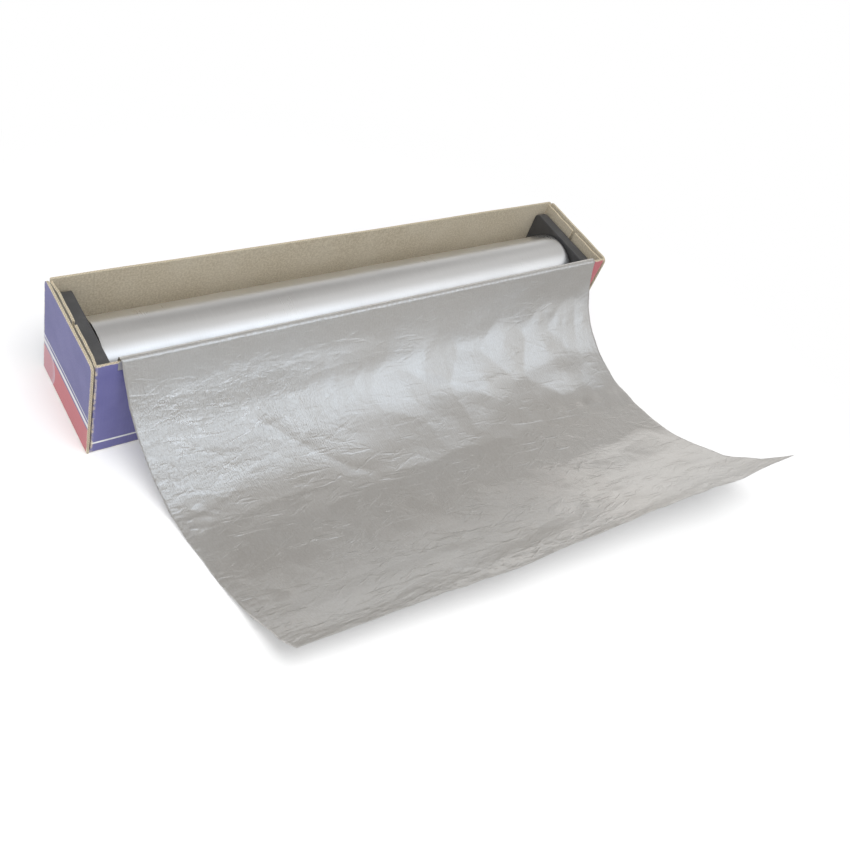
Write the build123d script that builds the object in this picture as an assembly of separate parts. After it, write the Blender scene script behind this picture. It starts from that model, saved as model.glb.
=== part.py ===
"""Foodservice aluminium foil roll in its open cutter carton, with a sheet drawn out over the front wall.

The origin is the centre of the carton's bottom face. +X runs along the roll, the sheet leaves towards -Y,
and +Z is up. Sizes are in millimetres and degrees.
"""
from build123d import *
from math import asin, atan2, cos, degrees, hypot, radians, sin, sqrt
import os

os.makedirs("parts", exist_ok=True)

# Wound foil and the cardboard core that it is wound on
FOIL_WIDTH = 457.2
ROLL_DIAMETER = 68.0
CORE_DIAMETER = 38.0
CORE_WALL = 3.0
CORE_OVERHANG = 0.9
WINDING_GAP = 0.05

# Moulded end plugs that carry the core on their hubs
PLUG_DEPTH = 9.5
PLUG_WALL = 2.2
PLUG_CORNER = 6.0
PLUG_EDGE = 0.8
PLUG_LIP = 2.5
PLUG_DROP = 10.4
PLUG_CLEARANCE = 0.4
PLUG_BACK_GAP = 3.0
END_FLOAT = 1.9
HUB_LENGTH = 22.0
HUB_CLEARANCE = 0.3
HUB_LEAD = 1.2
RIB_WIDTH = 1.8

# Carton of small-flute corrugated board, folded from one blank
BOARD = 1.8
ROLL_ROOM = 9.7
FOLD_RADIUS = 1.5
FLAP_GAP = 1.2
FLAP_DROP = 2.0
FLAP_SPACING = 4.0
FLAP_CORNER = 5.0
GLUE_WIDTH = 8.0
GLUE_HEIGHT = 45.0
GLUE_RISE = 12.0

# Serrated cutter strip on the outside of the front wall
CUTTER_THICKNESS = 0.5
CUTTER_DEPTH = 9.0
CUTTER_TOOTH = 2.0
CUTTER_PITCH = 5.0
CUTTER_OVERHANG = 2.5

# Sheet drawn out of the carton, thicker than foil so that it can be handled as a solid
SHEET_THICKNESS = 0.5
SHEET_GAP = 0.3
DRAPE_ANGLE = 78.0
FLOOR_RUN = 2.0
CURL_RADIUS = 153.0
CURL_ANGLE = 62.0
SHEET_SKEW = 42.0
FRONT_SLANT = 38.0

# The plugs are sized by the room that the roll needs to turn, and the carton by the plugs
inner_width = ROLL_DIAMETER + 2 * ROLL_ROOM
carton_width = inner_width + 2 * BOARD
plug_width = inner_width - 2 * PLUG_CLEARANCE
plug_height = plug_width / 2 + ROLL_DIAMETER / 2 + PLUG_LIP
carton_height = BOARD + plug_height + PLUG_DROP
roll_axis_z = BOARD + plug_width / 2
plug_face_x = FOIL_WIDTH / 2 + END_FLOAT
flap_face_x = plug_face_x + PLUG_DEPTH + PLUG_BACK_GAP
flap_back_x = flap_face_x + BOARD
end_panel_x = flap_back_x + FLAP_GAP
front_y = -carton_width / 2
core_bore = CORE_DIAMETER / 2 - CORE_WALL


def make_floor():
    """Bottom panel, rounded where it bends up into the front and back walls."""
    section = Rectangle(carton_width, BOARD, align=(Align.CENTER, Align.MIN))
    section = fillet(section.vertices().group_by(Axis.Y)[0], FOLD_RADIUS)
    return extrude(Plane.YZ * section, end_panel_x, both=True)


def make_walls():
    """Front and back walls with the side flaps that fold in behind the ends, shorter than the walls."""
    outside = RectangleRounded(2 * flap_back_x, carton_width, FOLD_RADIUS)
    inside = Rectangle(2 * flap_face_x, inner_width)
    parting = Rectangle(2 * end_panel_x, FLAP_SPACING)
    ring = Pos(0, 0, BOARD) * extrude(outside - inside - parting, carton_height - BOARD)
    headroom = Pos(0, 0, carton_height - FLAP_DROP) * Box(
        2 * end_panel_x, inner_width, carton_height, align=(Align.CENTER, Align.CENTER, Align.MIN))
    return ring - headroom


def make_end_panel():
    """Outer panel at +X, folded up from the bottom and held to the side flaps by two beads of glue."""
    outline = Rectangle(carton_width, carton_height, align=(Align.CENTER, Align.MIN))
    outline = fillet(outline.vertices().group_by(Axis.Y)[-1], FLAP_CORNER)
    panel = extrude(Plane.YZ.offset(end_panel_x) * outline, BOARD)
    fold = panel.edges().filter_by(Axis.Y).group_by(Axis.Z)[0].sort_by(Axis.X)[-1]
    panel = fillet(fold, FOLD_RADIUS)
    bead = Box(FLAP_GAP, GLUE_WIDTH, GLUE_HEIGHT, align=(Align.MIN, Align.CENTER, Align.MIN))
    for side in (-1, 1):
        panel = panel + Pos(flap_back_x, side * inner_width / 4, BOARD + GLUE_RISE) * bead
    return panel


def make_carton():
    """Open carton: bottom, walls and two closed ends, all of one blank."""
    end_panel = make_end_panel()
    return make_floor() + make_walls() + end_panel + end_panel.rotate(Axis.Z, 180)


def make_plug():
    """End plug at +X: a tray that opens outwards, ribs behind its face and a hub that enters the core.

    The tray stands on the carton's bottom with its hub on the roll's axis, and its top is just above the roll.
    """
    hub_radius = core_bore - HUB_CLEARANCE
    rib_depth = PLUG_DEPTH - PLUG_WALL
    face = Plane.YZ.offset(plug_face_x)
    middle = Pos(0, (plug_height - plug_width) / 2)
    tray = extrude(face * (middle * RectangleRounded(plug_width, plug_height, PLUG_CORNER)), PLUG_DEPTH)
    tray = fillet(tray.faces().sort_by(Axis.X)[0].edges(), PLUG_EDGE)
    pocket = middle * RectangleRounded(
        plug_width - 2 * PLUG_WALL, plug_height - 2 * PLUG_WALL, PLUG_CORNER - PLUG_WALL)
    tray = tray - extrude(face.offset(PLUG_WALL) * pocket, PLUG_DEPTH)
    cross = Rectangle(plug_width - PLUG_WALL, RIB_WIDTH) + middle * Rectangle(RIB_WIDTH, plug_height - PLUG_WALL)
    ribs = extrude(face * (cross + Circle(hub_radius)), rib_depth)
    hub = extrude(face * Circle(hub_radius), -HUB_LENGTH)
    hub = chamfer(hub.edges().sort_by(Axis.X)[0], HUB_LEAD)
    bore = extrude(face.offset(-HUB_LENGTH) * Circle(hub_radius - PLUG_WALL), HUB_LENGTH + PLUG_DEPTH)
    return Pos(0, 0, roll_axis_z) * (tray + ribs + hub - bore)


def make_tube(length, radius, bore):
    """Plain tube on the roll's axis."""
    ring = Circle(radius) - Circle(bore)
    return Pos(0, 0, roll_axis_z) * extrude(Plane.YZ * ring, length / 2, both=True)


def make_cutter():
    """Steel strip along the front wall, with a row of teeth that stand above the wall's edge."""
    teeth = int((FOIL_WIDTH + 2 * CUTTER_OVERHANG) // CUTTER_PITCH)
    half = teeth * CUTTER_PITCH / 2
    foot = carton_height + CUTTER_TOOTH - CUTTER_DEPTH
    points = [(half, foot), (-half, foot), (-half, carton_height)]
    for tooth in range(teeth):
        left = -half + tooth * CUTTER_PITCH
        points.append((left + CUTTER_PITCH / 2, carton_height + CUTTER_TOOTH))
        points.append((left + CUTTER_PITCH, carton_height))
    blade = make_face(Plane.XZ.offset(-front_y) * Polyline(*points, close=True))
    return extrude(blade, CUTTER_THICKNESS, dir=(0, -1, 0))


def web_run(offset):
    """Section of one face of the web: off the roll, over the front wall, down to the floor and up in a curl.

    The straight start touches both the roll and the crest over the wall, and each bend is an arc.
    offset is 0 for the face that lies on the wall and the floor, and the thickness for the other.
    """
    crest = Vector(front_y + BOARD / 2, carton_height)
    crest_radius = hypot(BOARD / 2 + CUTTER_THICKNESS, CUTTER_TOOTH) + SHEET_GAP
    axis = Vector(0, roll_axis_z)
    roll_radius = ROLL_DIAMETER / 2 + SHEET_GAP + SHEET_THICKNESS
    between = axis - crest
    slope = atan2(between.Y, between.X) - asin((crest_radius + roll_radius) / between.length)
    straight = sqrt(between.length ** 2 - (crest_radius + roll_radius) ** 2)
    start = axis - Vector(-sin(slope), cos(slope)) * (roll_radius - offset)
    rise = Vector(-cos(slope), -sin(slope)) * straight
    crest_turn = DRAPE_ANGLE - degrees(slope)
    drape_drop = carton_height + crest_radius * cos(radians(DRAPE_ANGLE))
    drape_radius = drape_drop / (1 - cos(radians(DRAPE_ANGLE)))

    climb = Line(start, start + rise)
    bend = JernArc(climb @ 1, climb % 1, crest_radius + offset, crest_turn)
    drape = JernArc(bend @ 1, bend % 1, drape_radius - offset, -DRAPE_ANGLE)
    rest = Line(drape @ 1, drape @ 1 + (drape % 1) * FLOOR_RUN)
    curl = JernArc(rest @ 1, rest % 1, CURL_RADIUS - offset, -CURL_ANGLE)
    return [climb, bend, drape, rest, curl]


def make_sheet():
    """Drawn sheet: the web's section carried along the carton, then trimmed to its outline seen from above.

    The sides lean to +X beyond the front wall, and the front is cut at a slight slant, longest at +X.
    """
    under = web_run(0)
    over = web_run(SHEET_THICKNESS)
    ends = [Line(under[0] @ 0, over[0] @ 0), Line(under[-1] @ 1, over[-1] @ 1)]
    section = make_face(Plane.YZ * Curve(under + over + ends))
    web = extrude(section, FOIL_WIDTH / 2 + SHEET_SKEW, both=True)
    half = FOIL_WIDTH / 2
    tip_y = web.bounding_box().min.Y
    left_skew = SHEET_SKEW * (1 - FRONT_SLANT / (front_y - tip_y))
    plan = Polyline((-half, 0), (half, 0), (half, front_y), (half + SHEET_SKEW, tip_y),
                    (-half + left_skew, tip_y + FRONT_SLANT), (-half, front_y), close=True)
    return web & extrude(make_face(plan), 2 * carton_height)


plug = make_plug()
nodes = {
    "carton": make_carton(),
    "end_plug_right": plug,
    "end_plug_left": plug.rotate(Axis.Z, 180),
    "core_tube": make_tube(FOIL_WIDTH + 2 * CORE_OVERHANG, CORE_DIAMETER / 2, core_bore),
    "foil_roll": make_tube(FOIL_WIDTH, ROLL_DIAMETER / 2, CORE_DIAMETER / 2 + WINDING_GAP),
    "foil_sheet": make_sheet(),
    "cutter_strip": make_cutter(),
}
for name, solid in nodes.items():
    export_step(solid, f"parts/{name}.step")
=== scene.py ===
"""Looks of a wide aluminium foil roll in its open cutter carton, with a sheet drawn out over the front wall.

The frame is the part's own: origin at the centre of the carton's bottom face, +X along the roll, the sheet
leaves towards -Y, and +Z is up. Sizes are in millimetres. Lamps, camera and noise scales go by the metre.
"""
import bpy
import numpy as np
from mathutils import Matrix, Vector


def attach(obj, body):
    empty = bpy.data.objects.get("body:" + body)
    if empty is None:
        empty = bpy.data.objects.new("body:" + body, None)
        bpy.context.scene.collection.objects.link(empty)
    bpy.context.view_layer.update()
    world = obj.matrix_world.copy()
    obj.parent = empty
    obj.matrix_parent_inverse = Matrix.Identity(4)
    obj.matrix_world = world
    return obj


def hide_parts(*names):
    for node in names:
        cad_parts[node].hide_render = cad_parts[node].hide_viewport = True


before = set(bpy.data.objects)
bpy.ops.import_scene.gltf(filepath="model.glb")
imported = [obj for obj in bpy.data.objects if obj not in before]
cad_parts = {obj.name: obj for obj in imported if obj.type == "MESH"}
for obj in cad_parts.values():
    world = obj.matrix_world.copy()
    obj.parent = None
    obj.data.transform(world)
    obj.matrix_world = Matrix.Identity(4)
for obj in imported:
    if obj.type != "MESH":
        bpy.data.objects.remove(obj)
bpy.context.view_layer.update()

# Carton: one blank of small-flute corrugated board, die cut, printed outside and left as bare kraft inside.
# The bottom and the long walls fold up as a trough. At each end two side flaps turn in from the walls, and a
# printed end panel folds up from the bottom and is glued over them. It has no lid.
MM = 0.001
CARTON_WIDTH = 91.0
CARTON_HEIGHT = 92.0
BOARD = 1.8
FLUTE = 2.4
FOLD = 1.5
INNER_FOLD = 0.5
WALL = CARTON_WIDTH / 2
INSIDE = WALL - BOARD
FLAP_FACE = 243.0
FLAP_BACK = FLAP_FACE + BOARD
FLAP_TOP = 90.0
FLAP_PARTING = 4.0
PANEL_FACE = 246.0
PANEL_CORNER = 5.0
CARTON_LENGTH = 2 * (PANEL_FACE + BOARD)
GLUE_WIDTH = 8.0
GLUE_HEIGHT = 45.0
GLUE_RISE = 12.0


def grid_quads(rows, columns, close_rows=False, close_columns=False):
    """Corner numbers of the quads of a grid: each cell joins (i, j), (i+1, j), (i+1, j+1) and (i, j+1)."""
    i = np.arange(rows if close_rows else rows - 1)[:, None]
    j = np.arange(columns if close_columns else columns - 1)[None, :]
    down = (i + 1) % rows
    right = (j + 1) % columns
    corners = [i * columns + j, down * columns + j, down * columns + right, i * columns + right]
    return np.stack([np.broadcast_to(c, (i.size, j.size)) for c in corners], -1).reshape(-1, 4)


def lay_mesh(name, points, quads, uv=None, finish=None, materials=(), sharp=0.6):
    """Puts points and quads into a mesh in metres, with a UV per face corner, a finish number per face and
    edges sharper than the given angle, in radians, left hard."""
    mesh = bpy.data.meshes.new(name)
    mesh.vertices.add(len(points))
    mesh.vertices.foreach_set("co", (np.asarray(points) * MM).astype(np.float32).ravel())
    mesh.loops.add(quads.size)
    mesh.loops.foreach_set("vertex_index", quads.astype(np.int32).ravel())
    mesh.polygons.add(len(quads))
    mesh.polygons.foreach_set("loop_start", np.arange(0, quads.size, 4, dtype=np.int32))
    mesh.polygons.foreach_set("use_smooth", np.ones(len(quads), bool))
    for material in materials:
        mesh.materials.append(material)
    if finish is not None:
        mesh.polygons.foreach_set("material_index", np.asarray(finish, np.int32))
    if uv is not None:
        layer = mesh.uv_layers.new(name="run")
        layer.data.foreach_set("uv", np.asarray(uv, np.float32).ravel())
    mesh.update(calc_edges=True)
    mesh.validate()
    mesh.set_sharp_from_angle(angle=sharp)
    piece = bpy.data.objects.new(name, mesh)
    bpy.context.scene.collection.objects.link(piece)
    return piece


def node(tree, kind, sockets=None, **options):
    """Adds a shader node, sets its options, and fills each socket with a value or a link."""
    made = tree.nodes.new("ShaderNode" + kind)
    for option, value in options.items():
        setattr(made, option, value)
    for key, value in (sockets or {}).items():
        if isinstance(value, bpy.types.NodeSocket):
            tree.links.new(value, made.inputs[key])
        else:
            made.inputs[key].default_value = value
    return made


def sums(tree, operation, *values):
    """One step of arithmetic on one or two values."""
    return node(tree, "Math", dict(enumerate(values)), operation=operation).outputs[0]


def times(tree, first, *others):
    """Product of the values."""
    for other in others:
        first = sums(tree, "MULTIPLY", first, other)
    return first


def plus(tree, first, *others):
    """Sum of the values."""
    for other in others:
        first = sums(tree, "ADD", first, other)
    return first


def gap(tree, one, other):
    """Distance between two values."""
    return sums(tree, "ABSOLUTE", sums(tree, "SUBTRACT", one, other))


def vectors(tree, operation, *values):
    """One step of arithmetic on vectors, which gives a value for a distance or a dot product."""
    made = node(tree, "VectorMath", dict(enumerate(values)), operation=operation)
    return made.outputs["Value" if operation in ("DISTANCE", "DOT_PRODUCT") else "Vector"]


def apart(tree, where, place):
    """Distance in metres from a place that is given in millimetres."""
    return vectors(tree, "DISTANCE", where, [c * MM for c in place])


def axes(tree, where):
    """The three coordinates of a place."""
    return node(tree, "SeparateXYZ", {0: where}).outputs


def ramp(tree, value, start, end, low=0.0, high=1.0):
    """Smooth rise from low at start to high at end, flat outside."""
    limits = {"Value": value, "From Min": start, "From Max": end, "To Min": low, "To Max": high}
    return node(tree, "MapRange", limits, interpolation_type="SMOOTHSTEP").outputs[0]


def rise(tree, place, start, end, low=0.0, high=1.0):
    """Smooth rise along a place in metres, with start and end in millimetres."""
    return ramp(tree, place, start * MM, end * MM, low, high)


def wave(tree, place, pitch):
    """Sine along a place in metres, with a pitch in millimetres."""
    return sums(tree, "SINE", times(tree, place, 2 * np.pi / (pitch * MM)))


def tint(tree, share, under, over):
    """Colour over laid on colour under, by share."""
    return node(tree, "Mix", {0: share, 6: under, 7: over}, data_type="RGBA").outputs[2]


def speckle(tree, where, scale, stretch=(1, 1, 1), detail=3.0, rough=0.55):
    """Noise from 0 to 1 on the given coordinates, with scale in features a metre and a stretch each way."""
    mapped = node(tree, "Mapping", {"Vector": where, "Scale": stretch}).outputs[0]
    pattern = {"Vector": mapped, "Scale": scale, "Detail": detail, "Roughness": rough}
    return node(tree, "TexNoise", pattern).outputs[0]


def finish_of(name, reads, **constants):
    """New material with the given constants on its surface, its node tree, and the coordinates that it reads,
    in metres: Object for the place in the part's frame, or UV for the run of the piece's own surface."""
    material = bpy.data.materials.new(name)
    material.use_nodes = True
    tree = material.node_tree
    for socket, value in constants.items():
        tree.nodes["Principled BSDF"].inputs[socket.replace("_", " ")].default_value = value
    return material, tree, node(tree, "TexCoord").outputs[reads]


def lay_on(tree, colour, rough=None, relief=None, depth=0.0):
    """Links a colour, a roughness and a relief from 0 to 1 of the given depth to the material's surface."""
    surface = tree.nodes["Principled BSDF"].inputs
    tree.links.new(colour, surface["Base Color"])
    if rough is not None:
        tree.links.new(rough, surface["Roughness"])
    if relief is not None:
        bump = node(tree, "Bump", {"Height": relief, "Distance": depth * MM, "Strength": 1.0})
        tree.links.new(bump.outputs[0], surface["Normal"])


# Places and colours of the print: where each field and rub starts and is full, and where each rule lies
PRINT_BLUE = (0.125, 0.122, 0.318, 1)
PRINT_BLUE_THIN = (0.160, 0.157, 0.366, 1)
PRINT_RED = (0.56, 0.155, 0.18, 1)
PRINT_PALE = (0.78, 0.78, 0.77, 1)
PRINT_SCUFFED = (0.42, 0.42, 0.52, 1)
INK_EDGE = 0.3
END_FIELD = (27.2, 26.8)
END_RULES = ((28.8, 33.1), (35.8, 37.4))
WALL_FIELD = (231.8, 232.2)
BAR_RULE = (227.6, 230.1)
FOOT_RULE = (9.8, 11.9)
END_RUB = (43.8, 45.5)
WALL_RUB = (242.8, 244.7)
TOP_RUB = (90.5, 92.0)
FOOT_RUB = (2.0, 0.4)
SEAL_PLACE = (-247.8, 45.5, 14.0)
SEAL_RADIUS = 24.2
SEAL_RIM = (18.0, 24.0)
SEAL_FILM = (0.62, 0.62, 0.72, 1)


def inked(tree, place, low, high):
    """Share of ink in a rule between two places, with soft edges."""
    return times(tree, rise(tree, place, low, low + INK_EDGE), rise(tree, place, high, high - INK_EDGE))


def printed_board(name, ends):
    """Flexo print on the outer liner: blue ground, plain red field and pale rules, rubbed at folds and edges.

    On the end panels the red field lies along the foot, under two rules. On the walls it is a bar at the +X
    end. A round clear seal over the lower back corner at -X pales the print under it, most at its rim.
    """
    material, tree, where = finish_of(name, "Object", Specular_IOR_Level=0.4, Coat_Weight=0.12,
                                      Coat_Roughness=0.35)
    x, y, z = axes(tree, where)
    if ends:
        along = y
        field = rise(tree, z, *END_FIELD)
        rules = [inked(tree, z, *rule) for rule in END_RULES]
        fold = rise(tree, sums(tree, "ABSOLUTE", y), *END_RUB)
    else:
        along = x
        field = rise(tree, x, *WALL_FIELD)
        rules = [inked(tree, x, *BAR_RULE), inked(tree, z, *FOOT_RULE)]
        fold = rise(tree, sums(tree, "ABSOLUTE", x), *WALL_RUB)
    blotch = speckle(tree, where, 34, detail=4)
    ground = tint(tree, ramp(tree, blotch, 0.3, 0.75), PRINT_BLUE, PRINT_BLUE_THIN)
    ink = tint(tree, field, ground, PRINT_RED)
    for rule in rules:
        ink = tint(tree, rule, ink, PRINT_PALE)
    scuff = speckle(tree, where, 90, stretch=(1, 1, 3), detail=6, rough=0.75)
    ink = tint(tree, ramp(tree, scuff, 0.66, 0.78, 0.0, 0.28), ink, PRINT_SCUFFED)
    rubbed = sums(tree, "MAXIMUM", fold, rise(tree, z, *TOP_RUB))
    rubbed = sums(tree, "MAXIMUM", rubbed, rise(tree, z, *FOOT_RUB))
    chafe = speckle(tree, where, 260, detail=5, rough=0.7)
    ink = tint(tree, times(tree, rubbed, ramp(tree, chafe, 0.38, 0.62)), ink, KRAFT_EDGE)
    reach = apart(tree, where, SEAL_PLACE)
    film = rise(tree, reach, SEAL_RADIUS, SEAL_RADIUS - INK_EDGE)
    ink = tint(tree, times(tree, film, rise(tree, reach, *SEAL_RIM, 0.25, 0.55)), ink, SEAL_FILM)
    grain = speckle(tree, where, 900, detail=2)
    relief = plus(tree, times(tree, wave(tree, along, FLUTE), 0.25), times(tree, grain, 0.5))
    lay_on(tree, ink, ramp(tree, grain, 0.2, 0.8, 0.42, 0.58), relief, 0.06)
    return material


# Colours of the board where it isn't printed, and the flute's swing as a share of the board
KRAFT = (0.605, 0.545, 0.43, 1)
KRAFT_DARK = (0.475, 0.415, 0.315, 1)
KRAFT_CLOUD = (0.65, 0.60, 0.495, 1)
KRAFT_FLECK = (0.27, 0.22, 0.15, 1)
KRAFT_EDGE = (0.73, 0.635, 0.465, 1)
# Painted shade: the darker brown in the flute's channels on the cut edges
FLUTE_CHANNEL_SHADE = (0.40, 0.32, 0.21, 1)
FLUTE_SWING = 0.34
LINER_GREY = (0.62, 0.61, 0.62, 1)
LINER_PALE = (0.74, 0.73, 0.73, 1)


def kraft_liner():
    """Bare inner liner: grey-brown recycled fibre, pebbled, with dark flecks and faint lines over flutes."""
    material, tree, where = finish_of("kraft_liner", "Object", Specular_IOR_Level=0.2)
    pebble = speckle(tree, where, 620, detail=2, rough=0.6)
    cloud = speckle(tree, where, 28)
    fleck = speckle(tree, where, 1500, stretch=(1, 1, 0.4), detail=1)
    lines = wave(tree, axes(tree, where)[0], FLUTE)
    fibre = tint(tree, ramp(tree, pebble, 0.34, 0.68), KRAFT_DARK, KRAFT)
    fibre = tint(tree, ramp(tree, cloud, 0.35, 0.7, 0.0, 0.3), fibre, KRAFT_CLOUD)
    fibre = tint(tree, ramp(tree, fleck, 0.70, 0.76, 0.0, 0.55), fibre, KRAFT_FLECK)
    fibre = tint(tree, ramp(tree, lines, 0.5, 1.0, 0.0, 0.10), fibre, KRAFT_DARK)
    relief = plus(tree, pebble, times(tree, lines, 0.12))
    lay_on(tree, fibre, ramp(tree, pebble, 0.2, 0.8, 0.95, 0.78), relief, 0.18)
    return material


def raw_edge():
    """Cut edge of the board: two liners and the wave of the flute between them, drawn on the edge's own run.

    With s along the edge and a from 0 to 1 across it, the flute is at a = 0.5 + swing sin(2 pi s / pitch).
    Between the liners and the flute the edge is painted a darker brown, as painted shade in the flute's
    channels.
    """
    material, tree, where = finish_of("board_cut_edge", "Object", Specular_IOR_Level=0.2, Roughness=0.9)
    along, across, _ = axes(tree, node(tree, "TexCoord").outputs["UV"])
    line = plus(tree, times(tree, wave(tree, along, FLUTE), FLUTE_SWING), 0.5)
    flute = ramp(tree, gap(tree, across, line), 0.24, 0.12)
    liners = ramp(tree, gap(tree, across, 0.5), 0.30, 0.38)
    paper = sums(tree, "MAXIMUM", flute, liners)
    fuzz = speckle(tree, where, 1400, detail=2)
    fibre = tint(tree, ramp(tree, fuzz, 0.3, 0.7), KRAFT, KRAFT_EDGE)
    # Painted shade in the flute's channels: kraft darkened where there is no paper
    channel_shade = tint(tree, 0.35, FLUTE_CHANNEL_SHADE, KRAFT)
    relief = plus(tree, paper, times(tree, fuzz, 0.4))
    lay_on(tree, tint(tree, paper, channel_shade, fibre), relief=relief, depth=0.4)
    return material


def white_top():
    """Unprinted outer liner of the side flaps, pale grey and smooth, seen in the slits at the end panels."""
    material, tree, where = finish_of("white_liner", "Object", Specular_IOR_Level=0.3, Roughness=0.7)
    lay_on(tree, tint(tree, speckle(tree, where, 120), LINER_GREY, LINER_PALE))
    return material


# What folding and handling leave in the board: bows, leans and swells, and cut tops that rise and fall.
# A wave is given by its length over 2 pi.
FRONT_BOW = 0.12
BACK_BOW = 0.9
WALL_RIPPLE = 0.10
RIPPLE_WAVE = 31.0
FRONT_SHARE = 0.3
TOP_CROOK = 0.16
TOP_WAVES = (47.0, 19.0)
TOP_START = 1.3
PANEL_CROOK = 0.12
PANEL_WAVE = 7.0
PANEL_SWELL = 0.22
INNER_SWELL = 0.4
PANEL_FOOT = (0.02, 1.4)
FLAP_CROOK = 0.25
FLAP_WAVE = 3.0
FLAP_LEAN = 1.1
FLAP_HELD = 12.0
FLAP_SIDE_GAP = 0.02
FLAP_FOOT_GAP = 0.1

# Points of the board's grids, and the number of each finish in the carton's list of materials
FOLD_STEPS = 8
WALL_STEPS = 26
BOTTOM_STEPS = 24
LENGTH_STEPS = 110
CORNER_STEPS = 9
CORNER_CROWD = 0.6
PANEL_ROWS = 34
PANEL_STEPS = 30
FLAP_ROWS = 16
GLUE_ROWS = 6
GLUE_STEPS = 12
PRINTED_WALL, PRINTED_END, BARE_KRAFT, CUT_EDGE, WHITE_LINER = range(5)


def fade(value, start, end):
    """Straight rise from 0 at start to 1 at end, flat outside."""
    return np.clip((value - start) / (end - start), 0, 1)


def board_sheet(outer, inner, outside, inside, cut, ends):
    """Closed board between two grids of points: the outer face, the inner face and a rim on all four sides.

    The rim's UV is the distance along the edge in metres and the place across the board from 0 to 1.
    outside, inside and cut are finish numbers, and ends is the finish of the first and last rows' rims.
    """
    rows, columns = outer.shape[:2]
    count = rows * columns
    points = np.concatenate([outer.reshape(-1, 3), inner.reshape(-1, 3)])
    face = grid_quads(rows, columns)
    quads = [face, face[:, ::-1] + count]
    uv = [points[q][..., [0, 2]] * MM for q in quads]
    kind = [np.full(len(face), outside), np.full(len(face), inside)]
    number = np.arange(count).reshape(rows, columns)
    rims = ((number[:, 0], cut), (number[::-1, -1], cut), (number[0, ::-1], ends), (number[-1, :], ends))
    for edge, mark in rims:
        strip = np.stack([edge[1:], edge[:-1], edge[:-1] + count, edge[1:] + count], -1)
        step = np.linalg.norm(np.diff(points[edge], axis=0), axis=1)
        run = np.concatenate([[0], np.cumsum(step)]) * MM
        along = np.stack([run[1:], run[:-1], run[:-1], run[1:]], -1)
        uv.append(np.stack([along, np.broadcast_to([0, 0, 1, 1], along.shape)], -1))
        quads.append(strip)
        kind.append(np.full(len(strip), mark))
    return points, np.concatenate(quads), np.concatenate(uv), np.concatenate(kind)


def u_section(half, level, radius):
    """Section of a trough in y and z: down a wall, round a fold, over the bottom, and up again likewise."""
    turn = np.radians(np.linspace(0, 90, FOLD_STEPS))
    foot = level + radius
    wall_z = foot + (CARTON_HEIGHT - foot) * np.linspace(1, 0, WALL_STEPS)
    wall = np.stack([np.full(WALL_STEPS, -half), wall_z], -1)
    fold = np.stack([-half + radius - radius * np.cos(turn), foot - radius * np.sin(turn)], -1)
    bottom_y = np.linspace(-half + radius, half - radius, BOTTOM_STEPS)
    bottom = np.stack([bottom_y, np.full(BOTTOM_STEPS, level)], -1)
    side = np.concatenate([wall, fold[1:]])
    return np.concatenate([side, bottom[1:-1], side[::-1] * (-1, 1)])


def trough():
    """Bottom and both walls: an outer U section, and an inner one a board inside it, carried along X.

    The walls' ends are rounded into the side flaps, and the bottom reaches on to the end panels. The walls
    lean in by a fraction of a millimetre, most in the middle, and their cut tops rise and fall. The front
    wall does so less, because the cutter holds it.
    """
    last = FLAP_BACK - FOLD
    round_end = last + FOLD * np.sin(np.radians(np.linspace(0, 90, FOLD_STEPS)))
    x = np.concatenate([-round_end[::-1], np.linspace(-last, last, LENGTH_STEPS)[1:-1], round_end])
    past = np.maximum(np.abs(x) - last, 0)
    pinch = FOLD - np.sqrt(np.maximum(FOLD ** 2 - past ** 2, 0))
    belly = np.cos(np.pi * x / CARTON_LENGTH)[:, None] ** 2
    ripple = WALL_RIPPLE * np.sin(x / RIPPLE_WAVE)[:, None]
    uneven = TOP_CROOK * (1 + np.sin(x / TOP_WAVES[0] + TOP_START) * np.sin(x / TOP_WAVES[1]))[:, None]
    grids = []
    for half, level, radius, rounding in ((WALL, 0.0, FOLD, pinch), (INSIDE, BOARD, INNER_FOLD, 0 * pinch)):
        y, z = u_section(half, level, radius).T
        up = np.clip(z / CARTON_HEIGHT, 0, 1)
        on_bottom = z < BOARD + 1.2 * INNER_FOLD
        loose = np.where(y < 0, FRONT_SHARE, 1)
        bow = belly * np.where(y < 0, FRONT_BOW, BACK_BOW) * up ** 2 + ripple * loose * up
        crook = uneven * loose * (up > 0.999)
        grid_x = x[:, None] * np.where(on_bottom, PANEL_FACE / FLAP_BACK, 1)
        grid_y = y - np.sign(y) * (np.abs(bow) + np.where(on_bottom, 0, rounding[:, None]))
        grids.append(np.stack(np.broadcast_arrays(grid_x, grid_y, z - crook), -1))
    return board_sheet(*grids, PRINTED_WALL, BARE_KRAFT, CUT_EDGE, PRINTED_WALL)


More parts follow.
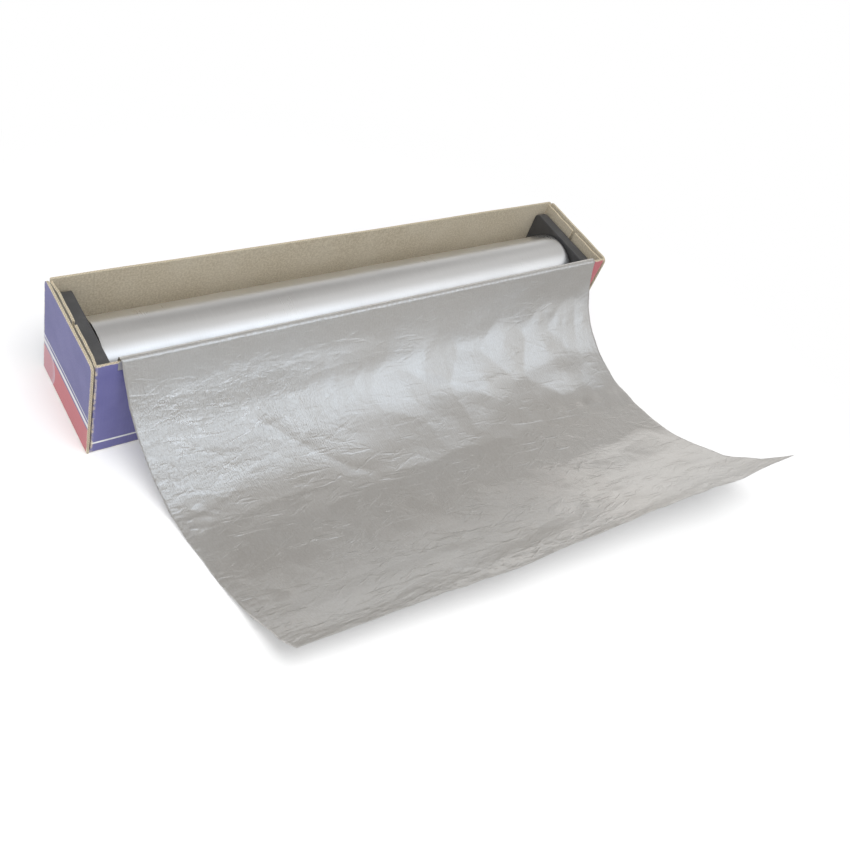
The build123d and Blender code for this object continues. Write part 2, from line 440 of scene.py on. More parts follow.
def end_panel(sign):
    """Printed end panel at one end: rows across the carton and columns up it, with rounded top corners, the
    foot bent under on the fold radius, and the middle drawn in by half a wave each way."""
    square = WALL - PANEL_CORNER
    round_y = square + PANEL_CORNER * np.linspace(0, 1, CORNER_STEPS) ** CORNER_CROWD
    flat_y = np.linspace(0.5 - square, square - 0.5, PANEL_ROWS)
    y = np.concatenate([-round_y[::-1], flat_y, round_y])
    reach = np.clip(np.abs(y) - square, 0, PANEL_CORNER)
    drop = PANEL_CORNER - np.sqrt(PANEL_CORNER ** 2 - reach ** 2)
    top = CARTON_HEIGHT - drop - PANEL_CROOK * (1 + np.sin(y / PANEL_WAVE))
    turn = np.radians(np.linspace(0, 90, FOLD_STEPS))
    straight = np.linspace(0, 1, PANEL_STEPS)[1:]
    share = np.concatenate([np.zeros(FOLD_STEPS), straight])
    bend_x = np.concatenate([-FOLD * (1 - np.sin(turn)), 0 * straight])
    bend_z = np.concatenate([FOLD * (1 - np.cos(turn)), 0 * straight + FOLD])
    swell = PANEL_SWELL * np.sin(np.pi * share) * np.cos(np.pi * y / CARTON_WIDTH)[:, None]
    z = bend_z + share * (top - FOLD)[:, None]
    outer_x = PANEL_FACE + BOARD + bend_x - swell
    inner_x = np.where(share > 0, PANEL_FACE - swell * INNER_SWELL, PANEL_FACE)
    inner_z = z.copy()
    inner_z[:, :FOLD_STEPS] = np.linspace(*PANEL_FOOT, FOLD_STEPS)
    outer = np.stack(np.broadcast_arrays(sign * outer_x, sign * y[:, None], z), -1)
    inner = np.stack(np.broadcast_arrays(sign * inner_x, sign * y[:, None], inner_z), -1)
    return board_sheet(outer, inner, PRINTED_END, BARE_KRAFT, CUT_EDGE, CUT_EDGE)


def side_flap(sign, side):
    """Side flap behind an end panel: rows from the wall to the middle, columns up to a top below the walls'.

    Its lean away from the panel grows with the square of the height and is nil at the wall.
    """
    y = np.linspace(INSIDE - FLAP_SIDE_GAP, FLAP_PARTING / 2, FLAP_ROWS)[:, None]
    z = np.linspace(BOARD + FLAP_FOOT_GAP, FLAP_TOP, PANEL_STEPS)[None, :]
    top = z - (z > FLAP_TOP - 0.01) * FLAP_CROOK * (1 + np.sin(y / FLAP_WAVE + side))
    lean = FLAP_LEAN * (z / FLAP_TOP) ** 2 * fade(y, INSIDE, INSIDE - FLAP_HELD)
    outer = np.stack(np.broadcast_arrays(sign * (FLAP_BACK - lean), side * y, top), -1)
    inner = np.stack(np.broadcast_arrays(sign * (FLAP_FACE - lean), side * y, top), -1)
    facing = sign * side
    return board_sheet(outer[::facing], inner[::facing], WHITE_LINER, BARE_KRAFT, CUT_EDGE, CUT_EDGE)


def glue_bead(sign, side):
    """Bead of set glue between a side flap and the end panel."""
    y = side * INSIDE / 2 + np.linspace(-GLUE_WIDTH / 2, GLUE_WIDTH / 2, GLUE_ROWS)[:, None]
    z = BOARD + GLUE_RISE + np.linspace(0, GLUE_HEIGHT, GLUE_STEPS)[None, :]
    outer = np.stack(np.broadcast_arrays(sign * PANEL_FACE, sign * y, z), -1)
    inner = np.stack(np.broadcast_arrays(sign * FLAP_BACK, sign * y, z), -1)
    return board_sheet(outer, inner, BARE_KRAFT, BARE_KRAFT, BARE_KRAFT, BARE_KRAFT)


boards = [trough()]
for sign in (-1, 1):
    boards.append(end_panel(sign))
    for side in (-1, 1):
        boards.append(side_flap(sign, side))
        boards.append(glue_bead(sign, side))
board_points, board_quads, board_uv, board_kind = zip(*boards)
starts = np.cumsum([0] + [len(p) for p in board_points])
carton = lay_mesh("carton_board", np.concatenate(board_points),
                  np.concatenate([q + start for q, start in zip(board_quads, starts)]),
                  np.concatenate(board_uv), np.concatenate(board_kind),
                  [printed_board("printed_wall", ends=False), printed_board("printed_end", ends=True),
                   kraft_liner(), raw_edge(), white_top()])
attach(carton, "carton_body")
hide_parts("carton")

# End plugs: charcoal plastic mouldings, a shallow tray with a ribbed back and a hub that enters the core.
# One drops into each end of the carton and carries the roll, held only by the walls and flaps round it.
PLUG_CHARCOAL = (0.062, 0.062, 0.064, 1)
PLUG_DUST = (0.11, 0.11, 0.112, 1)
PLUG_GRAIN = (0.15, 0.15, 0.15, 1)


def plug_plastic():
    """Moulded plastic with a fine spark-eroded grain and a little dust, duller where the dust lies."""
    material, tree, where = finish_of("plug_plastic", "Object", Specular_IOR_Level=0.5)
    grain = speckle(tree, where, 1300, detail=2, rough=0.6)
    dust = speckle(tree, where, 60, detail=5, rough=0.7)
    body = tint(tree, ramp(tree, dust, 0.45, 0.75, 0.0, 0.5), PLUG_CHARCOAL, PLUG_DUST)
    body = tint(tree, ramp(tree, grain, 0.62, 0.72, 0.0, 0.35), body, PLUG_GRAIN)
    lay_on(tree, body, ramp(tree, dust, 0.3, 0.7, 0.34, 0.52), grain, 0.09)
    return material


def dress(name, material):
    """Gives a piece of the CAD model its material."""
    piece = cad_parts[name]
    piece.data.materials.clear()
    piece.data.materials.append(material)


plastic = plug_plastic()
for name in ("end_plug_left", "end_plug_right"):
    dress(name, plastic)

# Core: a spiral-wound board tube, 38 mm across, that stands 0.9 mm proud of the foil at each end.
# It turns loosely on the plugs' hubs and only its ends can be seen.
ROLL_AXIS = 45.1
CORE_PITCH = 62.0
CORE_DARK = (0.30, 0.25, 0.175, 1)
CORE_PALE = (0.47, 0.40, 0.29, 1)
CORE_SEAM = (0.14, 0.11, 0.075, 1)


def wound_board():
    """Grey-brown board wound in a helix: the seam is where sin(turn angle + 2 pi x / pitch) is close to 1."""
    material, tree, where = finish_of("core_board", "Object", Specular_IOR_Level=0.2, Roughness=0.88)
    x, y, z = axes(tree, where)
    angle = sums(tree, "ARCTAN2", sums(tree, "SUBTRACT", z, ROLL_AXIS * MM), y)
    phase = plus(tree, angle, times(tree, x, 2 * np.pi / (CORE_PITCH * MM)))
    seam = ramp(tree, sums(tree, "SINE", phase), 0.985, 1.0, 0.0, 0.7)
    fibre = tint(tree, speckle(tree, where, 700), CORE_DARK, CORE_PALE)
    lay_on(tree, tint(tree, seam, fibre, CORE_SEAM), relief=speckle(tree, where, 900), depth=0.12)
    return material


dress("core_tube", wound_board())

# Roll: about 150 m of foil 0.016 mm thick wound tight on the core, bright rolled side out.
# The turns show as fine rings on its ends, where the slit edges are a little ragged.
ROLL_RADIUS = 34.0
ROLL_BORE = 19.05
FOIL_HALF = 228.6
BRIGHT_DARK = (0.83, 0.835, 0.845, 1)
BRIGHT_PALE = (0.87, 0.875, 0.885, 1)
ROUND_STEPS = 240
RING_STEPS = 34
FACE_STEPS = 148
FACE_CROWD = 0.94
FACE_INSET = 0.21
DENT_WAVES = 9
DENT_DEPTH = 0.022
DENT_RATES = (0.01, 0.09)
DENT_LOBES = (-4, 5)
RIM_ROUND = 0.35
RIM_REACH = 0.5
RAG_DEPTH = 0.07
RAG_WAVES = (3, 7, 11, 19, 31, 47)
RAG_REACH = 3.0
RIDGE_ROUND = 0.2
ROLL_CREASE_WIDTH = 0.8
ROLL_CREASE_HEIGHT = 0.11
ROLL_CREASE_LIMIT = 0.2
ANY_PHASE = (0, 6.28)

# Rings on the roll's ends: height, rate by radius, and sway round the roll.
# Creases on the roll: place along it, place round it from the top, angle and half length.
RINGS = ((0.10, 5.3, 2.0), (0.06, 13.1, 0.0))
ROLL_CREASES = ((-130, 10, 0.95, 16), (-95, 14, -1.05, 18), (-62, 3, -1.2, 9), (60, 12, 0.8, 26),
                (105, 6, 0.7, 20), (-190, 8, 0.5, 14), (20, -6, -0.6, 22), (170, 10, 1.0, 18))


def bright_foil(name):
    """Rolled aluminium, bright side: metal with fine lines along the web and a faint cloudy haze.

    The UV is the place across the web and along it, in metres, so the lines follow the web round the roll.
    """
    material, tree, uv = finish_of(name, "UV", Metallic=1.0)
    lines = speckle(tree, uv, 60, stretch=(36, 1, 1))
    haze = speckle(tree, uv, 14, stretch=(1, 0.6, 1), detail=4)
    metal = tint(tree, ramp(tree, lines, 0.3, 0.7), BRIGHT_DARK, BRIGHT_PALE)
    smear = plus(tree, ramp(tree, haze, 0.3, 0.7, 0.26, 0.33), ramp(tree, lines, 0.3, 0.7, 0.0, 0.04))
    lay_on(tree, metal, smear, lines, 0.004)
    return material


def ridge(off, width):
    """Ridge with a rounded crest at a distance d from its line: exp(-sqrt((d / width)^2 + rounding^2))."""
    return np.exp(-np.sqrt((off / width) ** 2 + RIDGE_ROUND ** 2))


def crease(across, along, x, s, angle, length, width, height):
    """Ridge of the given height along a straight line through (x, s), tapered to nothing at its ends."""
    run = (across - x) * np.cos(angle) + (along - s) * np.sin(angle)
    off = (along - s) * np.cos(angle) - (across - x) * np.sin(angle)
    taper = np.clip(1 - (run / length) ** 2, 0, 1) ** 2
    return height * taper * ridge(off, width)


def wound_foil():
    """Closed profile (left end, face, right end, bore) turned about the roll's axis, then pushed in a little:
    slow waves of dents, hairline diagonal creases, rounded rims, and slit ends that are ragged and ringed."""
    rng = np.random.default_rng(4)
    crowd = np.pi / 2 * FACE_CROWD
    face_x = FOIL_HALF * np.sin(crowd * np.linspace(-1, 1, FACE_STEPS + 2)[1:-1]) / np.sin(crowd)
    end_r = np.linspace(ROLL_BORE, ROLL_RADIUS - RIM_ROUND, RING_STEPS)
    end_x = np.full(RING_STEPS, FOIL_HALF)
    x = np.concatenate([-end_x, face_x, end_x])
    r = np.concatenate([end_r, np.full(FACE_STEPS, ROLL_RADIUS), end_r[::-1]])
    on_face = np.concatenate([0 * end_r, np.ones(FACE_STEPS), 0 * end_r])
    a = np.linspace(0, 2 * np.pi, ROUND_STEPS, endpoint=False)[:, None]
    arc = ROLL_RADIUS * ((a - np.pi / 2 + np.pi) % (2 * np.pi) - np.pi)
    rates = rng.uniform(*DENT_RATES, DENT_WAVES)
    starts = rng.uniform(*ANY_PHASE, DENT_WAVES)
    lobes = rng.integers(*DENT_LOBES, DENT_WAVES)
    dent = sum(DENT_DEPTH * np.sin(x * f + p + n * a) for f, p, n in zip(rates, starts, lobes))
    folds = sum(crease(x, arc, *place, ROLL_CREASE_WIDTH, ROLL_CREASE_HEIGHT) for place in ROLL_CREASES)
    end_gap = np.minimum(FOIL_HALF - np.abs(x), RAG_REACH)
    soft_rim = RIM_ROUND * np.exp(-end_gap / RIM_REACH)
    radius = r - on_face * (FACE_INSET + dent + soft_rim - np.minimum(folds, ROLL_CREASE_LIMIT))
    starts = rng.uniform(*ANY_PHASE, len(RAG_WAVES))
    ragged = sum(RAG_DEPTH * np.sin(n * a + p) for n, p in zip(RAG_WAVES, starts))
    ring = sum(h * np.sin(r * rate + sway * np.sin(a)) for h, rate, sway in RINGS)
    inset = np.abs(ragged) + np.where(on_face > 0, 0, np.abs(ring))
    px = x - np.sign(x) * inset * np.exp(-end_gap)
    points = np.stack(np.broadcast_arrays(px, radius * np.cos(a), ROLL_AXIS + radius * np.sin(a)), -1)
    quads = grid_quads(ROUND_STEPS, len(x), close_rows=True, close_columns=True)
    run = np.cumsum(np.abs(np.diff(x, prepend=x[0])) + np.abs(np.diff(r, prepend=r[0])))
    row, column = np.divmod(quads, len(x))
    closing = (row == 0) & (row.max(1, keepdims=True) == ROUND_STEPS - 1)
    around = np.where(closing, ROUND_STEPS, row) * (2 * np.pi * ROLL_RADIUS / ROUND_STEPS)
    return points.reshape(-1, 3), quads, np.stack([run[column], around], -1) * MM


roll = lay_mesh("wound_foil", *wound_foil(), materials=[bright_foil("bright_foil")], sharp=0.9)
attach(roll, "winding")
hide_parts("foil_roll")

# Cutter: a thin tinned steel strip with pressed teeth, fixed flat against the outside of the front wall.
# The foil is drawn over it and torn down against it, so only its ends show beside the foil.
TOOTH_PITCH = 5.0
STEEL = (0.46, 0.46, 0.47, 1)
STEEL_PALE = (0.64, 0.64, 0.65, 1)


def tinned_steel():
    """Cold-rolled strip with lines along its length, brighter and duller by turns."""
    material, tree, where = finish_of("cutter_steel", "Object", Metallic=1.0)
    lines = speckle(tree, where, 90, stretch=(1, 1, 40))
    lay_on(tree, tint(tree, lines, STEEL, STEEL_PALE), ramp(tree, lines, 0.3, 0.7, 0.28, 0.42), lines, 0.02)
    return material


dress("cutter_strip", tinned_steel())

# Drawn sheet: the free end of the same foil, pulled up between roll and wall, over the teeth and down to
# the table. Its dull inner side is up. It keeps the set of the roll, so its end curls up, and it is creased
# from handling.
WEB_START = (-34.205, 40.228)
WEB_CLIMB = 52.72
WEB_HEADING = 98.106
CREST_RADIUS = 2.991
DRAPE_ANGLE = 78.0
DRAPE_RADIUS = 116.618
FLOOR_RUN = 2.0
CURL_RADIUS = 152.75
CURL_LEFT = 39.466
CURL_RIGHT = 62.0
SHEET_LEAN = 42.0
LEAN_SPAN = 253.19
FRONT_TRIM = 1.6
FOIL_SKIN = 0.25
CREST_AT = WEB_CLIMB + CREST_RADIUS * np.radians(180 - WEB_HEADING)
CREST_END = CREST_AT + CREST_RADIUS * np.radians(DRAPE_ANGLE)
FLOOR_AT = CREST_END + DRAPE_RADIUS * np.radians(DRAPE_ANGLE)
CURL_AT = FLOOR_AT + FLOOR_RUN
MATT_DARK = (0.765, 0.742, 0.712, 1)
MATT_PALE = (0.815, 0.795, 0.768, 1)
MATT_CLOUD = (0.83, 0.825, 0.815, 1)
MATT_SPARK = (0.92, 0.915, 0.905, 1)

# Front cut on the flat web: its distance along the middle of the web, and how it grows across it.
# Then where the lit patch and the crinkled edges start and are full, across the web or along it.
FRONT_MIDDLE = 357.0
FRONT_SLOPE = 0.131
PATCH_ACROSS = (-40, -130)
PATCH_NEAR = (70, 105)
PATCH_FAR = (200, 150)
SIDE_CRINKLE = (-200, -226)
SIDE_CRINKLE_FROM = (130, 200)
FRONT_CRINKLE = (40, 4)
BOLD_STROKES = (150, 240)
TEETH_MARK = (7.0, 2.0)

# Strokes: number a metre, length to width, angle and depth. Dimples: number a metre and stretch
STROKES = ((150, 6, 0.12, 0.24), (190, 5, -0.35, 0.17), (120, 5, 0.6, 0.12))
DIMPLES = ((42, (1, 2.6, 1)), (54, (2.4, 1, 1)), (85, (1, 2.2, 1)))


def strokes(tree, where, scale, length, turn):
    """Scattered strokes from 0 to 1: noise of scale features a metre, drawn out by length and turned."""
    drawn_out = {"Vector": where, "Scale": (length, 1, 1), "Rotation": (0, 0, turn)}
    mapped = node(tree, "Mapping", drawn_out, vector_type="TEXTURE").outputs[0]
    return ramp(tree, speckle(tree, mapped, scale, detail=2), 0.56, 0.68)


def matt_foil():
    """Rolled aluminium, dull side: soft metal with a silky grain along the web, cloudy patches and crinkles.

    The UV is the place across the web and along it in metres. Thin creases are strokes drawn out across the
    web, and those in the lit patch on the left are smoother and catch the light. Dimples are the high spots
    of stretched noises, deepest along the left and front edges. A row of faint dimples lies over the teeth.
    """
    material, tree, uv = finish_of("matt_foil", "UV", Metallic=0.9)
    across, along, _ = axes(tree, uv)
    grain = speckle(tree, uv, 110, stretch=(9, 1, 1), rough=0.6)
    fine = speckle(tree, uv, 800, stretch=(1.2, 0.6, 1), detail=2)
    cloud = speckle(tree, uv, 9, detail=4)
    metal = tint(tree, ramp(tree, grain, 0.3, 0.7), MATT_DARK, MATT_PALE)
    metal = tint(tree, ramp(tree, cloud, 0.35, 0.7, 0.0, 0.5), metal, MATT_CLOUD)
    metal = tint(tree, ramp(tree, fine, 0.4, 0.7, 0.0, 0.35), metal, MATT_SPARK)
    patch = times(tree, rise(tree, across, *PATCH_ACROSS), rise(tree, along, *PATCH_NEAR),
                  rise(tree, along, *PATCH_FAR))
    relief = times(tree, plus(tree, grain, fine), ramp(tree, patch, 0.0, 1.0, 0.12, 0.44))
    share = ramp(tree, speckle(tree, uv, 14, detail=2), 0.38, 0.62, 0.4, 1.0)
    share = times(tree, share, rise(tree, along, *BOLD_STROKES, 0.7, 1.7))
    shiny = 0.0
    for scale, length, turn, depth in STROKES:
        stroke = times(tree, strokes(tree, uv, scale, length, turn), share)
        shiny = sums(tree, "MAXIMUM", shiny, stroke)
        relief = plus(tree, relief, times(tree, stroke, depth))
    smear = plus(tree, ramp(tree, cloud, 0.3, 0.7, 0.36, 0.42), ramp(tree, grain, 0.3, 0.7, 0.0, 0.05),
                 times(tree, shiny, patch, -0.22))
    front = plus(tree, times(tree, across, FRONT_SLOPE), FRONT_MIDDLE * MM)
    edge = times(tree, rise(tree, across, *SIDE_CRINKLE), rise(tree, along, *SIDE_CRINKLE_FROM))
    edge = sums(tree, "MAXIMUM", edge, rise(tree, sums(tree, "SUBTRACT", front, along), *FRONT_CRINKLE))
    depth = plus(tree, ramp(tree, cloud, 0.35, 0.65, 0.03, 0.12), times(tree, patch, 0.10),
                 times(tree, edge, 0.35))
    for scale, stretch in DIMPLES:
        dimple = ramp(tree, speckle(tree, uv, scale, stretch, detail=1), 0.42, 0.75)
        relief = plus(tree, relief, times(tree, dimple, depth))
    over_teeth = rise(tree, gap(tree, along, CREST_AT * MM), *TEETH_MARK, 0.0, 0.08)
    relief = plus(tree, relief, times(tree, wave(tree, across, TOOTH_PITCH), over_teeth))
    lay_on(tree, metal, smear, relief, 1.0)
    return material


def web_line(s):
    """Place and heading of the web at distance s: the heading turns at a steady rate in each run, and the
    place is the sum of small steps along it."""
    step = 0.05
    longest = 395
    fine = np.arange(0, longest, step) + step / 2
    runs = np.searchsorted([WEB_CLIMB, CREST_END, FLOOR_AT, CURL_AT], fine)
    rate = np.array([0, 1 / CREST_RADIUS, -1 / DRAPE_RADIUS, 0, -1 / CURL_RADIUS])[runs]
    heading = np.radians(WEB_HEADING) + np.cumsum(rate) * step - rate * step / 2
    y = WEB_START[0] + np.concatenate([[0], np.cumsum(np.cos(heading)) * step])
    z = WEB_START[1] + np.concatenate([[0], np.cumsum(np.sin(heading)) * step])
    knots = np.arange(len(y)) * step
    return np.interp(s, knots, y), np.interp(s, knots, z), np.interp(s, fine, heading)


# Form of the creased sheet, by place across and distance beyond the crest. Swells: height, length and tilt.
# Folds: path, width and height. Creases: count, range across, range along, angle and its spread, ranges of
# half length and of width, and height. They lie anywhere, in the lit patch, in front and down the left edge.
SWELLS = ((0.6, 118, 0.004), (0.45, 71, -0.011), (0.35, 47, 0.017), (0.25, 33, -0.008))
SWELL_BEND = 0.9
SWELL_BEND_WAVE = 90
CREST_FADE = (6, 56)
DENTS = 150
DENTS_ACROSS = (-235, 235)
DENTS_ALONG = (5, 340)
FACET_SLOPE = 0.035
FOLDS = ((((-139, 72), (-113, 97), (-81, 130), (-41, 160)), 5.0, 1.3),
         (((-228, 143), (-159, 135), (-95, 134), (-30, 150)), 6.0, -1.2),
         (((20, 70), (70, 96), (120, 88)), 5.0, 0.9),
         (((60, 190), (130, 205), (205, 196)), 6.0, 0.9))
CREASES = ((60, (-225, 225), (60, 315), -0.1, 0.5, (10, 45), (2.2, 4.5), 0.8),
           (60, (-222, -80), (36, 100), 0.2, 0.7, (4, 14), (2.0, 3.2), 0.5),
           (46, (-200, 230), (225, 325), 0.05, 0.5, (6, 24), (2.0, 3.6), 0.9),
           (24, (-228, -198), (120, 265), 0.5, 0.3, (6, 18), (2.0, 3.2), 1.2))
CREASE_SHARE = (0.3, 1.0)
RIB_PITCH = 4.6
RIB_HEIGHT = 0.3
RIB_MIDDLE = 8
RIB_SPREAD = 10
RIB_NEAR = (1, 5)
RIB_FAR = (40, 24)

# The right side of the drape has bolder facets: how much steeper, and where they start and are full
BOLD_SLOPE = 0.05
BOLD_ACROSS = (-40, 30)
BOLD_NEAR = (15, 40)
BOLD_FAR = (190, 130)


def soft_fold(across, along, path, width, height):
    """Soft fold along a path of places: a ridge by the distance from the nearest straight stretch of it."""
    off = np.inf
    for (x0, s0), (x1, s1) in zip(path[:-1], path[1:]):
        share = ((across - x0) * (x1 - x0) + (along - s0) * (s1 - s0)) / ((x1 - x0) ** 2 + (s1 - s0) ** 2)
        share = np.clip(share, 0, 1)
        off = np.minimum(off, np.hypot(across - x0 - share * (x1 - x0), along - s0 - share * (s1 - s0)))
    return height * ridge(off, width)


def rumple(x, t):
    """Height of the sheet above its smooth form at place x across and distance t beyond the crest.

    Long swells, facets that fall away from scattered dents as the distance to the nearest one, soft folds and
    short creases, all of which fade out towards the crest, and short ribs in the left corner by the crest.
    """
    rng = np.random.default_rng(11)
    away = fade(t, *CREST_FADE)
    away = away * away * (3 - 2 * away)
    height = 0
    for (h, length, tilt), p in zip(SWELLS, rng.uniform(*ANY_PHASE, len(SWELLS))):
        bend = SWELL_BEND * np.sin(x / SWELL_BEND_WAVE + p)
        height = height + away * h * np.sin(t * 2 * np.pi / length + bend + x * tilt + p)
    dent = np.full(np.broadcast(x, t).shape, np.inf)
    for cx, ct in zip(rng.uniform(*DENTS_ACROSS, DENTS), rng.uniform(*DENTS_ALONG, DENTS)):
        dent = np.minimum(dent, np.hypot(x - cx, t - ct))
    bold = fade(x, *BOLD_ACROSS) * fade(t, *BOLD_NEAR) * fade(t, *BOLD_FAR)
    height = height - away * dent * (FACET_SLOPE + BOLD_SLOPE * bold)
    for path, width, top in FOLDS:
        height = height + away * soft_fold(x, t, path, width, top)
    for count, xs, ts, tilt, spread, lengths, widths, top in CREASES:
        for _ in range(count):
            size = rng.choice((-1, 1)) * rng.uniform(*CREASE_SHARE) * top
            place = rng.uniform(*xs), rng.uniform(*ts)
            form = rng.normal(tilt, spread), rng.uniform(*lengths), rng.uniform(*widths)
            height = height + away * crease(x, t, *place, *form, size)
    inwards = x + FOIL_HALF
    corner = np.clip(1 - ((inwards - RIB_MIDDLE) / RIB_SPREAD) ** 2, 0, 1)
    corner = corner * fade(t, *RIB_NEAR) * fade(t, *RIB_FAR)
    return height + RIB_HEIGHT * corner * np.cos(2 * np.pi * inwards / RIB_PITCH)


# Points of the sheet's grid: across it, up to the crest, over it and beyond it. Waves of its cut front and
# of its sides: height and length over 2 pi, and for the flutter of the front also a start.
ACROSS_STEPS = 252
CLIMB_STEPS = 12
CREST_STEPS = 14
DRAPE_STEPS = 168
NICKS = ((0.5, 37), (0.3, 11), (0.15, 3.7))
SWAYS = ((0.35, 23), (0.16, 5.1))
FLUTTER = ((0.9, 41, 0.6), (0.5, 17, 2))
SIDE_DRAW = 0.55
SIDE_BAND = 28.6
SIDE_FADE = (0, 20)
FRONT_BAND = 45
CREST_DIP = 0.12
DIP_WAVES = (29.0, 11.0)
CREST_BAND = 6
TABLE_CLEARANCE = 0.05


def wander(run, kinds, rng):
    """Sum of waves along a run, each of a height and a length over 2 pi, that start anywhere."""
    starts = rng.uniform(*ANY_PHASE, len(kinds))
    return sum(h * np.sin(run / length + p) for (h, length), p in zip(kinds, starts))


def drawn_web():
    """Grid of places across the web and distances along it, leaned to +X beyond the wall, cut at a slant in
    front, rumpled along its normal and kept above the table. Seen from above, the cut is straight."""
    rng = np.random.default_rng(7)
    across = np.linspace(-FOIL_HALF, FOIL_HALF, ACROSS_STEPS)[:, None]
    slant = np.interp(across, [-FOIL_HALF, FOIL_HALF], np.sin(np.radians([CURL_LEFT, CURL_RIGHT])))
    length = CURL_AT + np.arcsin(slant) * CURL_RADIUS - FRONT_TRIM + wander(across, NICKS, rng)
    climb = np.linspace(0, WEB_CLIMB, CLIMB_STEPS)
    over = np.linspace(WEB_CLIMB, CREST_END, CREST_STEPS)[1:]
    start = np.concatenate([climb, over])
    beyond = CREST_END + np.linspace(0, 1, DRAPE_STEPS)[1:] * (length - CREST_END)
    s = np.concatenate([np.broadcast_to(start, (ACROSS_STEPS, len(start))), beyond], 1)
    y, z, heading = web_line(s)
    t = s - CREST_AT
    lean = SHEET_LEAN * fade(y, -WALL, -WALL - LEAN_SPAN)
    side = fade(np.abs(across), FOIL_HALF - SIDE_BAND, FOIL_HALF) ** 2 * fade(t, *SIDE_FADE)
    x = across + lean - np.sign(across) * side * (SIDE_DRAW + np.abs(wander(t, SWAYS, rng)))
    front = fade(length - s, FRONT_BAND, 0) ** 2
    flutter = sum(h * np.sin(across / wave_length + p) for h, wave_length, p in FLUTTER)
    dip = CREST_DIP * (np.sin(across / DIP_WAVES[0]) * np.sin(across / DIP_WAVES[1] + 1) - 1)
    dip = dip * np.clip(1 - (t / CREST_BAND) ** 2, 0, 1)
    height = rumple(across, t) + front * flutter + dip
    py = y + height * np.sin(heading)
    pz = np.maximum(z - height * np.cos(heading), FOIL_SKIN / 2 + TABLE_CLEARANCE)
    points = np.stack([x, py, pz], -1).reshape(-1, 3)
    quads = grid_quads(*s.shape)[:, ::-1]
    place = np.stack(np.broadcast_arrays(across, s), -1).reshape(-1, 2) * MM
    return points, quads, place[quads]


sheet = lay_mesh("drawn_sheet", *drawn_web(), sharp=1.2,
                 materials=[matt_foil(), bright_foil("bright_underside")])
skin = sheet.modifiers.new("skin", "SOLIDIFY")
skin.thickness = FOIL_SKIN * MM
skin.offset = 0.0
skin.material_offset = 1
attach(sheet, "carton_body")
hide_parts("foil_sheet")

# Table: a plain white studio floor under the carton and the sheet, much wider than the view.
# Near them the camera sees it mostly lit, with their soft shadows, and it fades to plain white further off.
# In reflections it is a dim floor in front of the carton and a bright one behind it.
FLOOR_HALF = 9000.0
FLOOR_LEVEL = -0.35
FLOOR_STEPS = 7
FLOOR_PAINT = (0.97, 0.97, 0.97, 1)
FLOOR_LIT = 0.8
FLOOR_MIDDLE = (20.0, -130.0, 0.0)
FLOOR_FADE = (310.0, 520.0)
FLOOR_DIM = (0.24, 0.231, 0.217, 1)
FLOOR_BRIGHT = (0.85, 0.845, 0.835, 1)
FLOOR_TURN = (-350.0, 100.0)
PLAIN_WHITE = (1, 1, 1, 1)


def bare_tree(owner):
    """Empty node tree of a material or a world."""
    owner.use_nodes = True
    owner.node_tree.nodes.clear()
    return owner.node_tree


def white_floor():
    """White paint, mixed with plain white by distance for the camera, and a soft glow in reflections."""
    material = bpy.data.materials.new("white_floor")
    tree = bare_tree(material)
    ray = node(tree, "LightPath").outputs
    where = node(tree, "TexCoord").outputs["Object"]
    far = rise(tree, apart(tree, where, FLOOR_MIDDLE), *FLOOR_FADE)
    plain = times(tree, ray["Is Camera Ray"], sums(tree, "MAXIMUM", far, 1.0 - FLOOR_LIT))
    paint = node(tree, "BsdfDiffuse", {"Color": FLOOR_PAINT}).outputs[0]
    white = node(tree, "Emission", {"Color": PLAIN_WHITE, "Strength": 1.0}).outputs[0]
    seen = node(tree, "MixShader", {0: plain, 1: paint, 2: white}).outputs[0]
    room = tint(tree, rise(tree, axes(tree, where)[1], *FLOOR_TURN), FLOOR_DIM, FLOOR_BRIGHT)
    dim = node(tree, "Emission", {"Color": room, "Strength": 1.0}).outputs[0]
    mirrored = node(tree, "MixShader", {0: ray["Is Glossy Ray"], 1: seen, 2: dim}).outputs[0]
    node(tree, "OutputMaterial", {0: mirrored})
    return material


span = np.linspace(-FLOOR_HALF, FLOOR_HALF, FLOOR_STEPS)
floor_grid = np.stack(np.broadcast_arrays(span[:, None], span[None, :], FLOOR_LEVEL), -1)
floor = lay_mesh("studio_floor", floor_grid.reshape(-1, 3), grid_quads(*floor_grid.shape[:2]),
                 materials=[white_floor()])

# Light: a plain white surround, which reflections see as a dim room with two soft glows high in front, one
# of them cooler. A broad panel overhead, a fill from the left and a panel in front aren't mirrored. A small
# lamp gives glints, and two wide strips light only the roll.
BACKDROP = (0.95, 0.945, 0.935, 1)
STUDIO = (0.190, 0.179, 0.164, 1)
ROOM_LIGHT = (0.55, 0.55, 0.55, 1)
WINDOW = (0.70, 0.70, 0.695, 1)
WINDOW_WAY = (0.32, -0.736, 0.596)
WINDOW_EDGE = (0.76, 0.98)
WINDOW_SQUEEZE = (0.6, 1, 1)
COOL = (0.84, 0.93, 1.04, 1)
COOL_WAY = (0.15, -0.79, 0.595)
COOL_EDGE = (0.80, 0.95)


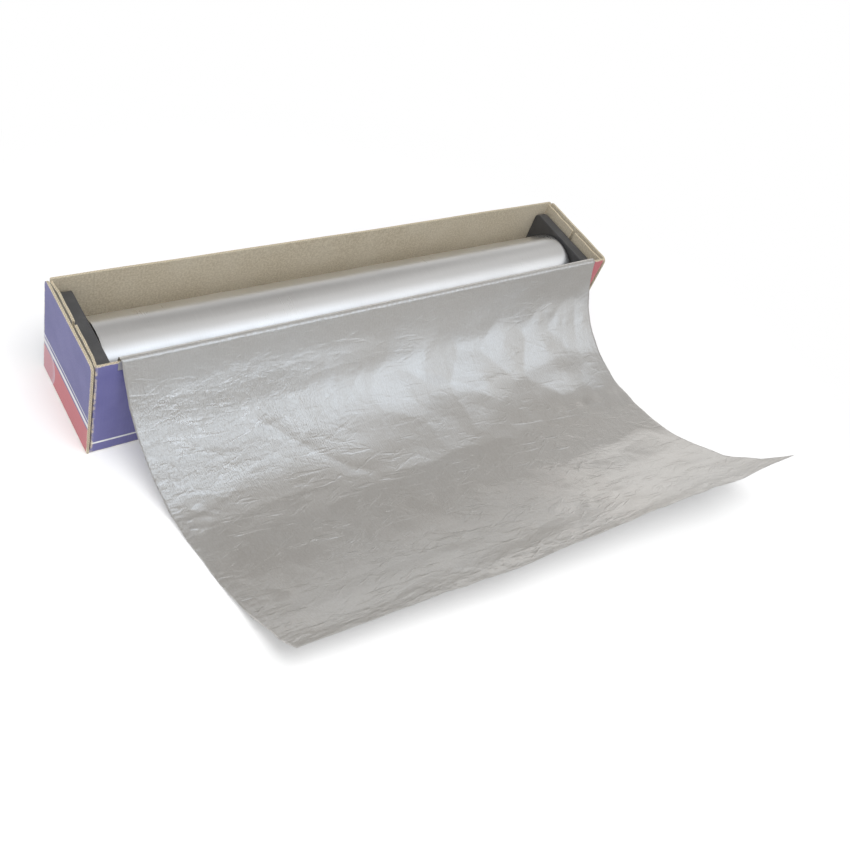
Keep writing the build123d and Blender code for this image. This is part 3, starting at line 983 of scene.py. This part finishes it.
def studio_white():
    """World by direction: plain white for the camera, even grey for the light, and in reflections a dim room
    that is brighter low at the back, with cloudy patches and two glows. A glow's share goes by the cosine of
    the angle from its way."""
    world = bpy.data.worlds.new("studio_white")
    tree = bare_tree(world)
    ray = node(tree, "LightPath").outputs
    way = node(tree, "TexCoord").outputs["Generated"]
    _, back, up = axes(tree, way)
    low_back = times(tree, ramp(tree, up, 0.78, 0.15), ramp(tree, back, -0.1, 0.4))
    patches = ramp(tree, speckle(tree, way, 3.0, detail=1), 0.40, 0.62, 0.0, 0.34)
    mirrored = tint(tree, sums(tree, "MAXIMUM", low_back, patches), STUDIO, BACKDROP)
    wide = vectors(tree, "NORMALIZE", vectors(tree, "MULTIPLY", way, WINDOW_SQUEEZE))
    window = ramp(tree, vectors(tree, "DOT_PRODUCT", wide, WINDOW_WAY), *WINDOW_EDGE)
    mirrored = tint(tree, window, mirrored, WINDOW)
    cool = ramp(tree, vectors(tree, "DOT_PRODUCT", way, COOL_WAY), *COOL_EDGE)
    mirrored = tint(tree, cool, mirrored, COOL)
    seen = sums(tree, "MAXIMUM", ray["Is Camera Ray"], ray["Is Transmission Ray"])
    plain = tint(tree, seen, ROOM_LIGHT, PLAIN_WHITE)
    colour = tint(tree, ray["Is Glossy Ray"], plain, mirrored)
    node(tree, "OutputWorld", {0: node(tree, "Background", {"Color": colour, "Strength": 1.0}).outputs[0]})
    return world


def soft_panel(name, place, target, size, power, colour=(1, 1, 1), mirrored=True, only=None):
    """Rectangular lamp at a place, turned to face a target. It may be left out of reflections, and it may
    light only one piece."""
    lamp = bpy.data.lights.new(name, "AREA")
    lamp.shape = "RECTANGLE"
    lamp.size, lamp.size_y = size
    lamp.energy = power
    lamp.color = colour
    holder = bpy.data.objects.new(name, lamp)
    bpy.context.scene.collection.objects.link(holder)
    holder.location = place
    holder.rotation_euler = Vector(np.subtract(target, place)).to_track_quat("-Z", "Y").to_euler()
    holder.visible_glossy = mirrored
    if only is not None:
        lit = bpy.data.collections.new("lit_by_" + name)
        lit.objects.link(only)
        holder.light_linking.receiver_collection = lit


bpy.context.scene.world = studio_white()
soft_panel("overhead", place=(-0.2, -0.55, 1.55), target=(0, -0.1, 0), size=(1.0, 0.8), power=18,
           mirrored=False)
soft_panel("left_fill", place=(-1.5, -0.7, 0.8), target=(0, -0.1, 0.05), size=(1.0, 1.0), power=3.4,
           mirrored=False)
soft_panel("front_panel", place=(0.8, -0.95, 1.2), target=(0.8, -0.05, 0.05), size=(2.2, 1.15), power=1.2,
           colour=(0.97, 0.985, 1.0), mirrored=False)
soft_panel("front_glint", place=(0.34, -1.40, 0.86), target=(0, -0.1, 0.05), size=(0.16, 0.16), power=0.32,
           colour=(0.82, 0.92, 1.0))
soft_panel("roll_strip", place=(0.9, 0.3, 1.6), target=(0.9, 0.0, 0.08), size=(2.4, 1.5), power=2.6,
           colour=(1.0, 0.99, 0.97), only=roll)
soft_panel("roll_front_strip", place=(0.9, -0.85, 1.28), target=(0.9, 0.0, 0.08), size=(2.6, 1.3), power=5.2,
           colour=(0.98, 0.99, 1.0), only=roll)

# Camera: the photograph's view, from the front left and above, turned on its axis as the picture is.
# Its place and directions were fitted to the carton's corners and the sheet's edges.
CAMERA_PLACE = (-0.41624, -0.45999, 0.57531)
CAMERA_RIGHT = (0.78067138, -0.54087537, 0.31305914)
CAMERA_UP = (0.22864686, 0.71341101, 0.66239365)
CAMERA_AHEAD = (0.58161225, 0.44553178, -0.68060901)
lens = bpy.data.cameras.new("photo_view")
lens.sensor_width = 36.0
lens.lens = 39.13
lens.shift_x = -0.0412
lens.shift_y = -0.0412
lens.clip_start = 0.01
lens.clip_end = 50.0
camera = bpy.data.objects.new("photo_view", lens)
bpy.context.scene.collection.objects.link(camera)
turned = np.eye(4)
turned[:3, 0] = CAMERA_RIGHT
turned[:3, 1] = CAMERA_UP
turned[:3, 2] = -np.array(CAMERA_AHEAD)
turned[:3, 3] = CAMERA_PLACE
camera.matrix_world = Matrix(turned.tolist())
bpy.context.scene.camera = camera
bpy.context.scene.view_settings.view_transform = "Standard"
